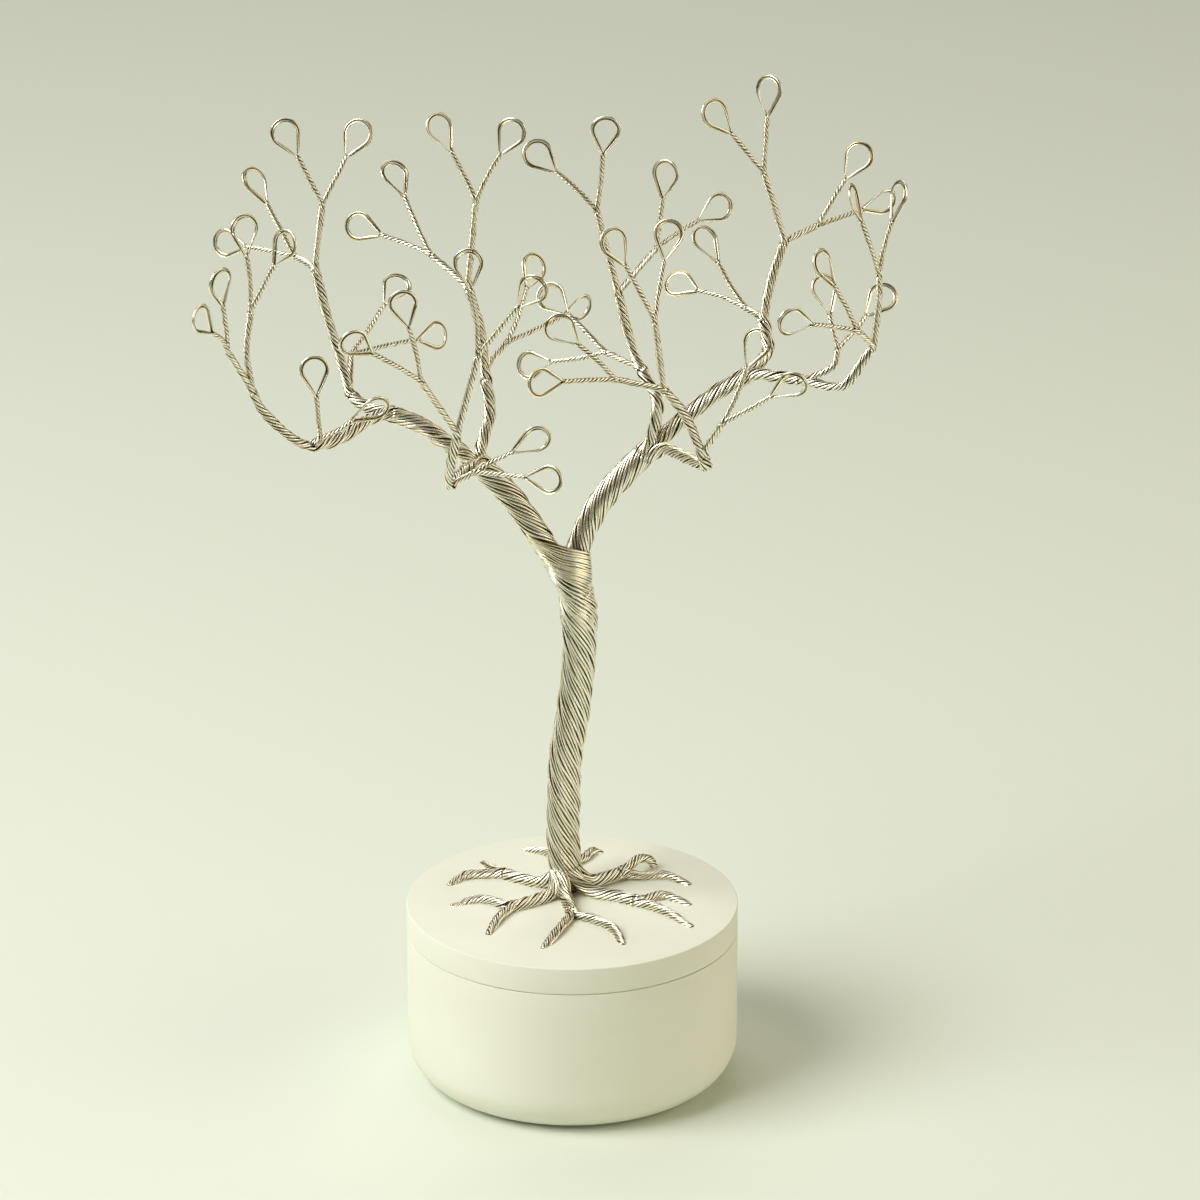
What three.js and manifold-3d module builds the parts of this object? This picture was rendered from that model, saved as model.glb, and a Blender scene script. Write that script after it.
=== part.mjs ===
// A wire tree that stands on the lid of a round jar, in millimetres, +Z up.
// The origin is the middle of the jar's underside. X runs to the right and Y away from the viewer.
//
// The tree is 96 soft wires, each doubled back at its middle. Two neighbours share a loop, so 4
// wires lie in a twig, 8 in a stem with two twigs, 24 in a branch with three stems, 96 in a limb
// and all 192 ends in the trunk. At the foot they part again into six roots, set in the lid.

import * as THREE from 'three';
import { mergeVertices } from 'three/addons/utils/BufferGeometryUtils.js';
import Module from 'manifold-3d';

const wasm = await Module();
wasm.setup();

// Jar and lid
const JAR_DIAMETER = 80;
const BOWL_HEIGHT = 37.5;
const BOWL_WALL = 5;
const BOWL_FLOOR = 6;
const FOOT_ROUND = 9.5;
const INNER_ROUND = 5;
const LID_THICKNESS = 6.75;
const SPIGOT_DEPTH = 4;
const SPIGOT_CLEARANCE = 0.5;
const EDGE_CHAMFER = 0.35;
const JAR_SIDES = 32;

// Wire
const WIRE_DIAMETER = 0.5;
const PACKING = 0.8;
const WIRES = { loop: 2, twig: 4, stem: 8, fork: 16, branch: 24, crook: 48, limb: 96, trunk: 192,
  wrapped: 256, root: 32, rootEnd: 16 };

// Tree
const TREE_HEIGHT = 200;
const LOOP_LENGTH = 10;
const LOOP_WIDTH = 7.2;
const LOOP_NECK = 1.2;
const TWIG_GRIP = 0.9;
const ROOT_TIP = 0.5;

// Lay of the bundles: ridges round a section, and the turns of a ridge for each diameter of length
const TRUNK_RIDGES = 6;
const LIMB_RIDGES = 5;
const LAY_TURNS = 0.18;
const RIDGE_DEPTH = 0.14;

// Fineness: facets round a loop's head, and the length of a facet along each kind of bundle
const LOOP_STEPS = 5;
const BRANCH_SIDES = 5;
const BRANCH_STEP = 10;
const TWIG_SIDES = 4;
const TWIG_STEP = 40;
const LIMB_STEP = 5.5;
const ROOT_STEP = 9;

const LID_TOP = BOWL_HEIGHT + LID_THICKNESS;

// Places in the tree are shares of its height, written as millimetres on a tree of this height
const DRAWN_HEIGHT = 200;
const place = ([x, y, z]) => new THREE.Vector3(x, y, z)
  .multiplyScalar(TREE_HEIGHT / DRAWN_HEIGHT)
  .add(new THREE.Vector3(0, 0, LID_TOP));

const TRUNK = [[-1, 6, 0], [-2, 6, 11], [-2, 5, 22], [-1.5, 4, 35], [0.5, 3, 49], [2, 1.5, 66],
  [1, 0.5, 80], [-1, 0, 88]];
const LEFT_LIMB = [[-2, 0, 84.5], [-6, 0, 91], [-10.3, 0, 98], [-15.3, 0.4, 104.6], [-22.5, 1, 112],
  [-29, 2, 116], [-35, 3, 120], [-43, 4, 123]];
const RIGHT_LIMB = [[0, 1, 85], [3.8, 1, 96], [7.8, 1, 103], [13.7, 1, 110], [18.5, 1, 115],
  [25, 2, 121], [33, 4, 127], [42, 6, 132]];

// Stretches of a limb below its two inner branches. Its crook carries on with half the wires.
const LIMB_STRETCHES = 4;

// A branch has its path from the limb, the point on it where its side stem leaves, and three
// stems, the side stem first. A stem is its path, if any, up to its fork, and its two loops, each
// with the middle of the loop and how far it is turned away from the viewer, in degrees.
const BRANCHES = [
  { name: 'outer left', side: 3,
    path: [[-43, 4, 123], [-47, -1, 123], [-53, -8, 121], [-60, -15, 121], [-64, -18, 124],
      [-71, -20, 132], [-73, -21, 137]],
    stems: [
      { to: [[-58, -14, 123]], loops: [[-59, -13, 138, 10], [-46, -12, 129, 30]] },
      { to: [[-74, -20, 146], [-73, -18, 155]], loops: [[-74, -17, 173, 30], [-65, -21, 171, -40]] },
      { to: [[-78, -24, 147]], loops: [[-79, -28, 164, 50], [-83, -32, 157, 50]] }] },
  { name: 'upper left', side: 2,
    path: [[-43, 4, 123], [-48, 8, 123], [-52, 11, 125], [-54, 14, 132], [-57, 16, 142],
      [-60, 18, 154]],
    stems: [
      { to: [[-52, 20, 132]], loops: [[-42, 36, 143, -20], [-33, 40, 130, 15]] },
      { to: [[-58, 20, 169]], loops: [[-66, 21, 185, 10], [-50, 24, 184, -20]] },
      { to: [[-65, 24, 155]], loops: [[-74, 30, 171, 55], [-81, 34, 155, 10]] }] },
  { name: 'middle left', side: 3,
    path: [[-21, 0, 111], [-21, 3, 115], [-19, 5, 122], [-20, 7, 131], [-21, 9, 141],
      [-24, 10, 152]],
    stems: [
      { to: [[-19, 11, 133], [-15, 17, 136]], loops: [[-9, 32, 149, 20], [1.8, 34, 138.7, 15]] },
      { to: [[-22, 12, 172]], loops: [[-30, 15, 188, 35], [-14, 11, 188, -15]] },
      { to: [[-33, 16, 158]], loops: [[-49, 24, 162, 10], [-41, 28, 173, 40]] }] },
  { name: 'front left', side: 2,
    path: [[-23, 0, 111], [-25, -9, 113], [-28, -19, 113], [-28, -22, 117], [-26, -26, 128]],
    stems: [
      { to: [[-22, -21, 117]], loops: [[-9, -20, 124, 15], [-6, -29, 118, -10]] },
      { to: [[-34, -33, 143]], loops: [[-48, -43, 155, 0], [-37.5, -36, 161.3, 5]] },
      { to: [[-23, -28, 140], [-21, -29, 148]], loops: [[-23, -30, 169, 0], [-9, -36, 165, -10]] }] },
  { name: 'inner right', side: 4,
    path: [[18, 1, 114], [20, -1, 124], [20, 0, 128], [18, 2, 131], [16, 4, 134], [14, 6, 139],
      [11, 8, 151]],
    stems: [
      { to: [[8, 9, 136]], loops: [[-4, 18, 146, 10], [-9, 18, 130, 25]] },
      { to: [[6, 11, 170]], loops: [[-7, 14, 182, 20], [8, 9, 189, 0]] },
      { to: [[20, 14, 160]], loops: [[22, 14, 177, -30], [34, 22, 167, 0]] }] },
  { name: 'front right', side: 3,
    path: [[21, 0, 116], [28, -14, 117], [31, -20, 118], [30, -23, 122], [26, -25, 132],
      [21, -27, 139]],
    stems: [
      { to: [[34.7, -26, 130.5]], loops: [[42, -24, 148, -25], [49.4, -32, 141.2, 10]] },
      { to: [[19, -26, 155]], loops: [[10, -27, 173, 30], [22, -21, 173, -10]] },
      { to: [[10, -32, 143]], loops: [[-2, -36, 156, 0], [-6, -43, 146, 10]] }] },
  { name: 'upper right', side: 2,
    path: [[42, 6, 132], [46, 10, 136], [45, 13, 143], [47, 15, 152], [50, 16, 161]],
    stems: [
      { to: [[41, 18, 144]], loops: [[32, 24, 158, 45], [26, 30, 146, 40]] },
      { to: [[45, 18, 177]], loops: [[34, 16, 191, 35], [46, 21, 195, -35]] },
      { to: [[58, 22, 163]], loops: [[67, 25, 178, -20], [73, 30, 166, 20]] }] },
  { name: 'outer right', side: 2,
    path: [[42, 6, 132], [46, 4, 132], [54, 0, 132], [63, -4, 132], [68, -5, 139], [70, -5, 142]],
    stems: [
      { to: [[61, -1, 136], [62, 0, 140]], loops: [[59, 4, 152, 30], [72, 8, 149, -20]] },
      { to: [[71, -5, 153], [71, -4, 159]], loops: [[65, -6, 177, 75], [75, -1, 176, -65]] },
      { to: [[66, -9, 147]], loops: [[58, -11, 163, 55], [51, -18, 152, 0]] }] },
];

// A root is its path over the lid and its two ends, all from the trunk's foot outwards
const ROOTS = [
  { name: 'left', path: [[-2, 7, 4], [-7, 8, 1.4], [-11, 10, 0.8], [-17, 14, 0.8]],
    ends: [[[-26, 13, 0.8], [-30, 9, -0.6]], [[-22, 23, -0.6]]] },
  { name: 'front left', path: [[-2, 5, 4], [-5, 1, 1.4], [-10, -3, 0.8], [-15, -6, 0.8]],
    ends: [[[-22, -1, 0.8], [-29, -3, -0.6]], [[-18, -13, 0.8], [-20, -20, -0.6]]] },
  { name: 'front', path: [[-1, 5, 5], [-2, 0, 2.4], [-1, -4, 1], [0, -10, 0.8]],
    ends: [[[-4, -21, 0.8], [-7, -28, -0.6]], [[6, -14, 1], [10, -19, 0.8], [12, -26, -0.6]]] },
  { name: 'front right', path: [[0, 5, 4], [5, 2, 1.4], [11, 0, 0.9], [16, -3, 0.8]],
    ends: [[[22, 1, 0.8], [28.5, -3, -0.6]], [[22, -8, 0.8], [28.5, -16, -0.6]]] },
  { name: 'right', path: [[0, 6, 5], [4, 7, 2], [8, 9, 1.2], [12, 11, 1]],
    ends: [[[13, 14, 2.6], [15, 17, 3.4], [18, 19, 2.2], [20, 21, -0.6]],
      [[18, 12, 0.8], [23, 13, 0.8], [28.5, 9, -0.6]]] },
  { name: 'back', path: [[-1, 8, 4], [-1, 12, 1.4], [-1, 19, 0.8]],
    ends: [[[-6, 27, 0.8], [-12, 31, -0.6]], [[3, 24, 0.8], [5, 28, 0.7], [7, 29, -0.6]]] },
];

// Radius of a twisted bundle of so many wires
const bundleRadius = (wires) => WIRE_DIAMETER / 2 * Math.sqrt(wires / PACKING);

// Closed geometry through a list of rings with equally many corners, closed at both ends
function loft(rings) {
  const sides = rings[0].length;
  const last = rings.length - 1;
  const at = (i, j) => i * sides + j % sides;
  const middleOf = (ring) => ring.reduce((sum, p) => sum.add(p), new THREE.Vector3())
    .divideScalar(sides);
  const corners = [...rings.flat(), middleOf(rings[0]), middleOf(rings[last])];
  const faces = [];
  for (let j = 0; j < sides; j++) {
    for (let i = 0; i < last; i++) {
      faces.push(at(i, j), at(i, j + 1), at(i + 1, j + 1), at(i, j), at(i + 1, j + 1), at(i + 1, j));
    }
    faces.push(corners.length - 2, at(0, j + 1), at(0, j));
    faces.push(corners.length - 1, at(last, j), at(last, j + 1));
  }
  const geometry = new THREE.BufferGeometry().setFromPoints(corners);
  geometry.setIndex(faces);
  return geometry;
}

// Twisted bundle on a smooth curve through its points. Each stretch between two points has its
// own number of wires. Ridges, where it has any, run round it in a left-handed screw.
function bundle(points, wires, { sides, step, ridges = 0, tip = 1 }) {
  const curve = new THREE.CatmullRomCurve3(points);
  const stretches = points.length - 1;
  const corners = ridges ? 2 * ridges : sides;
  const normal = new THREE.Vector3(0, 1, 0);
  const rings = [];
  let twist = 0;
  let before = points[0];
  for (let i = 0; i < stretches; i++) {
    const steps = Math.max(1, Math.round(points[i].distanceTo(points[i + 1]) / step));
    for (let k = i ? 1 : 0; k <= steps; k++) {
      const share = (i + k / steps) / stretches;
      const middle = curve.getPoint(share);
      const forward = curve.getTangent(share);
      const radius = bundleRadius(wires[i]) * (share === 1 ? tip : 1);
      normal.addScaledVector(forward, -normal.dot(forward)).normalize();
      const side = new THREE.Vector3().crossVectors(forward, normal);
      twist -= LAY_TURNS * Math.PI * middle.distanceTo(before) / radius;
      before = middle;
      rings.push(Array.from({ length: corners }, (_, j) => {
        const angle = 2 * Math.PI * j / corners + (ridges ? twist : 0);
        const reach = ridges && j % 2 ? radius * (1 - RIDGE_DEPTH) : radius;
        return middle.clone().addScaledVector(normal, reach * Math.cos(angle))
          .addScaledVector(side, reach * Math.sin(angle));
      }));
    }
  }
  return loft(rings);
}

// Place of a loop: its neck, the way it points and the way it lies across
function loopAt(fork, [x, y, z, turn]) {
  const heart = place([x, y, z]);
  const along = heart.clone().sub(fork).normalize();
  const neck = heart.clone().addScaledVector(along, -LOOP_LENGTH / 2);
  const across = new THREE.Vector3().crossVectors(along, new THREE.Vector3(0, -1, 0)).normalize()
    .applyAxisAngle(along, THREE.MathUtils.degToRad(turn));
  const grip = neck.clone().addScaledVector(along, TWIG_GRIP);
  return { neck, along, across, grip };
}

// Outline of a loop: its neck, and a round head that both of its legs touch
function dropOutline(length, width) {
  const radius = width / 2;
  const heart = length - radius;
  const open = Math.PI - Math.acos(radius / heart);
  return [new THREE.Vector2(0, 0), ...Array.from({ length: LOOP_STEPS + 1 }, (_, i) => {
    const angle = open * (2 * i / LOOP_STEPS - 1);
    return new THREE.Vector2(heart + radius * Math.cos(angle), radius * Math.sin(angle));
  })];
}

// Loop of two wires that lie side by side, as one flat ring that is two wires wide
function loopOf({ neck, along, across }) {
  const drop = new THREE.Shape(dropOutline(LOOP_LENGTH, LOOP_WIDTH));
  const eye = dropOutline(LOOP_LENGTH - WIRE_DIAMETER - LOOP_NECK, LOOP_WIDTH - 2 * WIRE_DIAMETER)
    .map((p) => p.add(new THREE.Vector2(LOOP_NECK, 0)));
  drop.holes.push(new THREE.Path(eye));
  const normal = new THREE.Vector3().crossVectors(along, across);
  const ring = new THREE.ExtrudeGeometry(drop, { depth: 2 * WIRE_DIAMETER, bevelEnabled: false });
  ring.translate(0, 0, -WIRE_DIAMETER);
  ring.applyMatrix4(new THREE.Matrix4().makeBasis(along, across, normal).setPosition(neck));
  return merged(ring);
}

// Stem with its two twigs and their loops: one twig runs on from the stem, the other parts from
// it at the fork. The stem starts with the points and wires of what it runs on from.
function stemOf(points, wires, { to, loops }) {
  const sides = wires.length ? BRANCH_SIDES : TWIG_SIDES;
  const line = [...points, ...to.map(place)];
  const fork = line[line.length - 1];
  const [first, second] = loops.map((loop) => loopAt(fork, loop));
  const carried = [...wires, ...to.map(() => WIRES.stem), WIRES.twig];
  return [
    bundle([...line, first.grip], carried, { sides, step: BRANCH_STEP }),
    bundle([fork, second.grip], [WIRES.twig], { sides: TWIG_SIDES, step: TWIG_STEP }),
    loopOf(first), loopOf(second),
  ];
}

// Branch from its limb. Its side stem parts from it on the way, one stem at its end, and the
// other runs on from it.
function branchOf({ path, side, stems }) {
  const points = path.map(place);
  const wires = points.slice(1).map((_, i) => (i < side ? WIRES.branch : WIRES.fork));
  return [
    ...stemOf([points[side]], [], stems[0]),
    ...stemOf(points, wires, stems[1]),
    ...stemOf([points[points.length - 1]], [], stems[2]),
  ];
}

// Root over the lid. One of its ends runs on from it, the other parts from it.
function rootOf({ path, ends: [first, second] }) {
  const points = path.map(place);
  const parting = points[points.length - 1];
  const wires = [...points.slice(1).map(() => WIRES.root), ...first.map(() => WIRES.rootEnd)];
  const shape = { sides: BRANCH_SIDES, step: ROOT_STEP, tip: ROOT_TIP };
  return [
    bundle([...points, ...first.map(place)], wires, shape),
    bundle([parting, ...second.map(place)], second.map(() => WIRES.rootEnd), shape),
  ];
}

// Geometry whose faces share their corners, as joining and cutting need it
function merged(geometry) {
  for (const name of ['normal', 'uv']) geometry.deleteAttribute(name);
  return mergeVertices(geometry);
}

const solidOf = (geometry) => new wasm.Manifold(new wasm.Mesh({
  numProp: 3,
  vertProperties: geometry.getAttribute('position').array,
  triVerts: new Uint32Array(geometry.getIndex().array),
}));

function geometryOf(solid) {
  const { vertProperties, triVerts } = solid.getMesh();
  const geometry = new THREE.BufferGeometry();
  geometry.setAttribute('position', new THREE.BufferAttribute(vertProperties, 3));
  geometry.setIndex(new THREE.BufferAttribute(triVerts, 1));
  geometry.computeVertexNormals();
  return geometry;
}

// The whole tree: every bundle joined to its neighbours, and all of it cut level with the lid.
// The last stretch of the trunk is thicker, because the left limb's wires wrap round it there.
// Crumbs of air that the wires seal between them are filled by keeping only the largest shell.
function wireTree() {
  const limbWires = (points) => points.slice(1)
    .map((_, i) => (i < LIMB_STRETCHES ? WIRES.limb : WIRES.crook));
  const bundles = [
    bundle(TRUNK.map(place), TRUNK.slice(2).map(() => WIRES.trunk).concat(WIRES.wrapped),
      { ridges: TRUNK_RIDGES, step: LIMB_STEP }),
    ...[LEFT_LIMB, RIGHT_LIMB].map((limb) => bundle(limb.map(place), limbWires(limb),
      { ridges: LIMB_RIDGES, step: LIMB_STEP })),
    ...BRANCHES.flatMap(branchOf),
    ...ROOTS.flatMap(rootOf),
  ];
  const underLid = new THREE.BoxGeometry(2 * JAR_DIAMETER, 2 * JAR_DIAMETER, LID_TOP);
  underLid.translate(0, 0, LID_TOP / 2);
  const joined = bundles.map(solidOf).reduce((tree, solid) => tree.add(solid));
  const shells = joined.subtract(solidOf(merged(underLid))).decompose();
  return geometryOf(shells.reduce((a, b) => (a.volume() > b.volume() ? a : b)));
}

// Body of revolution about Z from a profile of radius and height pairs
function turned(profile) {
  const geometry = new THREE.LatheGeometry(profile.map(([r, z]) => new THREE.Vector2(r, z)), JAR_SIDES);
  return geometry.rotateX(Math.PI / 2);
}

// Corner rounded by a part of a circle, as radius and height pairs, from one angle to another
const rounded = (r, z, size, from, to, steps) => Array.from({ length: steps + 1 }, (_, i) => {
  const angle = from + (to - from) * i / steps;
  return [r + size * Math.cos(angle), z + size * Math.sin(angle)];
});

const OUTSIDE = JAR_DIAMETER / 2;
const BORE = OUTSIDE - BOWL_WALL;

const bowlProfile = () => [
  [0, 0],
  ...rounded(OUTSIDE - FOOT_ROUND, FOOT_ROUND, FOOT_ROUND, -Math.PI / 2, 0, 5),
  [OUTSIDE, BOWL_HEIGHT - EDGE_CHAMFER], [OUTSIDE - EDGE_CHAMFER, BOWL_HEIGHT], [BORE, BOWL_HEIGHT],
  ...rounded(BORE - INNER_ROUND, BOWL_FLOOR + INNER_ROUND, INNER_ROUND, 0, -Math.PI / 2, 3),
  [0, BOWL_FLOOR],
];

const lidProfile = () => [
  [0, BOWL_HEIGHT - SPIGOT_DEPTH],
  [BORE - SPIGOT_CLEARANCE, BOWL_HEIGHT - SPIGOT_DEPTH], [BORE - SPIGOT_CLEARANCE, BOWL_HEIGHT],
  [OUTSIDE - EDGE_CHAMFER, BOWL_HEIGHT], [OUTSIDE, BOWL_HEIGHT + EDGE_CHAMFER],
  [OUTSIDE, LID_TOP - EDGE_CHAMFER], [OUTSIDE - EDGE_CHAMFER, LID_TOP],
  [0, LID_TOP],
];

const plaster = new THREE.MeshStandardMaterial({ color: '#efeedd', roughness: 0.85, metalness: 0 });
const wire = new THREE.MeshStandardMaterial({ color: '#cfc9ab', roughness: 0.3, metalness: 1 });

const part = new THREE.Group();
for (const [name, geometry, material] of [
  ['jar_bowl', turned(bowlProfile()), plaster],
  ['jar_lid', turned(lidProfile()), plaster],
  ['wire_tree', wireTree(), wire],
]) {
  const mesh = new THREE.Mesh(geometry, material);
  mesh.name = name;
  part.add(mesh);
}

export default part;
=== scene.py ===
# Looks of the wire tree and its jar: every wire of every bundle as a twisted strand, and the
# jar as smooth turned plaster. Sizes and places are in millimetres until a mesh is made.

import math

import bpy
import numpy as np
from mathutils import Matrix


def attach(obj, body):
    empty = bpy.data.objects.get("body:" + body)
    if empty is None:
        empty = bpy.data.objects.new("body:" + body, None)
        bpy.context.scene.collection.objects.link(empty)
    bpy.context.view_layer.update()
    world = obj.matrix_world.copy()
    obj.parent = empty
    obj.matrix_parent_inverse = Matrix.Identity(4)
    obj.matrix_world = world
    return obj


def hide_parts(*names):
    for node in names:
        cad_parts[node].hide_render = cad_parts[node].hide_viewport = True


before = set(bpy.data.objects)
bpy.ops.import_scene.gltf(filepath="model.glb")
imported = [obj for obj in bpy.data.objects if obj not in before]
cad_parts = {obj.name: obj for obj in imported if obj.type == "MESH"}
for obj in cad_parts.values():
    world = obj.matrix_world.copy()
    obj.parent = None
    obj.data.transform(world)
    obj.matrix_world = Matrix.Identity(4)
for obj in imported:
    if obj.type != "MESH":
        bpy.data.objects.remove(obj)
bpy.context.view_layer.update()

MM = 0.001

# Jar and lid, as the solids have them
JAR_RADIUS = 40.0
BOWL_HEIGHT = 37.5
BOWL_WALL = 5.0
BOWL_FLOOR = 6.0
FOOT_ROUND = 9.5
INNER_ROUND = 5.0
LID_THICKNESS = 6.75
LID_TOP = BOWL_HEIGHT + LID_THICKNESS
SPIGOT_DEPTH = 4.0
SPIGOT_CLEARANCE = 0.5
EDGE_ROUND = 0.3

# Seam between bowl and lid as it shows outside: its height, its depth and its rounded edges
SEAM_GAP = 0.2
SEAM_DEPTH = 2.5
SEAM_ROUND = 0.15

# Wire's diameter, the share of a bundle's section that is wire, and how many wires each kind has
WIRE = 0.5
PACKING = 0.8
WIRES = {"twig": 4, "stem": 8, "fork": 16, "branch": 24, "crook": 48, "limb": 96, "trunk": 192,
         "root": 32, "root_end": 16}

# Slope of the lay on a bundle's outside, as turn over length
LAY_SLOPE = {"twig": 0.8, "stem": 0.72, "fork": 0.65, "root_end": 0.7}
COMMON_LAY = 0.58

# Diameter that a wire is drawn with. In thick bundles it is larger than the real one, and the
# wires of a ring lie further apart, in wires, so that as many ridges show as on the real bundle.
STRAND = {"trunk": 0.66, "limb": 0.65, "crook": 0.62, "branch": 0.58, "fork": 0.55, "root": 0.62,
          "root_end": 0.58, "stem": 0.53, "twig": 0.53, "loop": 0.52}
SPACING = {"trunk": 1.45, "limb": 1.4, "crook": 1.34, "branch": 1.24, "fork": 1.18, "root": 1.34,
           "root_end": 1.24}
COMMON_SPACING = 1.08

# Rings of wires in a section, in wires: from ring to ring, how far in the outer ones reach, and
# how far in lies the core of a bundle, coloured dark as painted shade
RING_STEP = 0.88
OUTER_DEPTH = 0.75
CORE_DEPTH = 1.25

# Hand-twisted unevenness: how far a wire sways, over which lengths, the least radius at which it
# sways so far round the bundle, and the ridges round a bundle
SWAY = 0.09
SWAY_LENGTHS = (7, 19)
SWAY_RING = 1.2
RIDGES = {"trunk": 7, "limb": 5, "crook": 4, "branch": 3}
RIDGE_DEPTH = 0.16

# Loop: its size over the wires, how much shorter its middle line is drawn, and how much smaller
# at most by chance
LOOP_LENGTH = 10.0
LOOP_WIDTH = 7.2
LOOP_SLACK = 0.35
LOOP_UNEVEN = 0.3

# The pair of wires in a loop: by how many degrees it turns over half-way round, how many wires
# each lies from their middle line, and how many more at most half-way round
PAIR_TILT = (60, 90)
PAIR_OFFSET = 0.54
PAIR_PARTING = 0.2
TWIG_BOW = 0.3

# Where a bundle of each kind parts: how far before its end its wires leave it, and how far along
# its children, in their order, they arrive. LOOK_AHEAD is the share of the way to a child at
# which a wire's own heading tells which child it goes to.
PARTINGS = {"trunk": (8.5, (3.5, 3.0)), "limb": (2.0, (4.0, 4.0, 3.4)), "crook": (1.2, (3.2, 3.2)),
            "branch": (0.8, (2.4, 1.6)), "fork": (0.8, (2.2, 2.2)), "stem": (0.5, (1.7, 1.7)),
            "root": (0.8, (2.6, 2.6))}
LOOK_AHEAD = 0.8

# Foot: the height at which the wires part, how far along the roots they arrive, how far they
# sweep on round the trunk on the way, in radians, and the core's radius at its lower end
FOOT_PARTING = 6.5
FOOT_ARRIVAL = 6.5
FOOT_SWEEP = 0.9
FOOT_CORE = 2.6
ROOT_TAPER = 0.15

# Under the fork the trunk's lay grows steeper and the trunk swells, and the left limb starts
# steeper: by which share, from, at or up to which length along the line, and over which length
TRUNK_STEEPER = (1.2, 70, 10)
TRUNK_SWELL = (0.14, 75, 5)
LIMB_STEEPER = (0.6, 16, 12)

# Patterns on the finishes: the distance between like spots. Grain in wire and plaster is finer
# than this and is drawn as coarse as it needs to show.
TARNISH_CLOUD = 4.5455
WIRE_GRAIN = 0.38462
WIRE_GRAIN_DEPTH = 0.04
PLASTER_CLOUD = 26.316
PLASTER_GRAIN = 0.71429
PLASTER_GRAIN_DEPTH = 0.2
PINHOLE_SPACING = 13.333

# Fineness
JAR_TURN = 288
STRAND_SIDES = 8
CORE_SIDES = 16
LINE_STEP = 0.25
LEAD_STEP = 0.55
CURVE_STEPS = 40
TRIAL_TURNS = 24
HEAD_STEPS = 34
LEG_STEPS = 8

rng = np.random.default_rng(24)

# The tree's places, in millimetres from the middle of the lid's top
TRUNK = [(-1, 6, 0), (-2, 6, 11), (-2, 5, 22), (-1.5, 4, 35), (0.5, 3, 49), (2, 1.5, 66),
         (1, 0.5, 80), (-1, 0, 88)]
LEFT_LIMB = [(-2, 0, 84.5), (-6, 0, 91), (-10.3, 0, 98), (-15.3, 0.4, 104.6), (-22.5, 1, 112),
             (-29, 2, 116), (-35, 3, 120), (-43, 4, 123)]
RIGHT_LIMB = [(0, 1, 85), (3.8, 1, 96), (7.8, 1, 103), (13.7, 1, 110), (18.5, 1, 115),
              (25, 2, 121), (33, 4, 127), (42, 6, 132)]
LIMB_PARTING = 4

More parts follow.
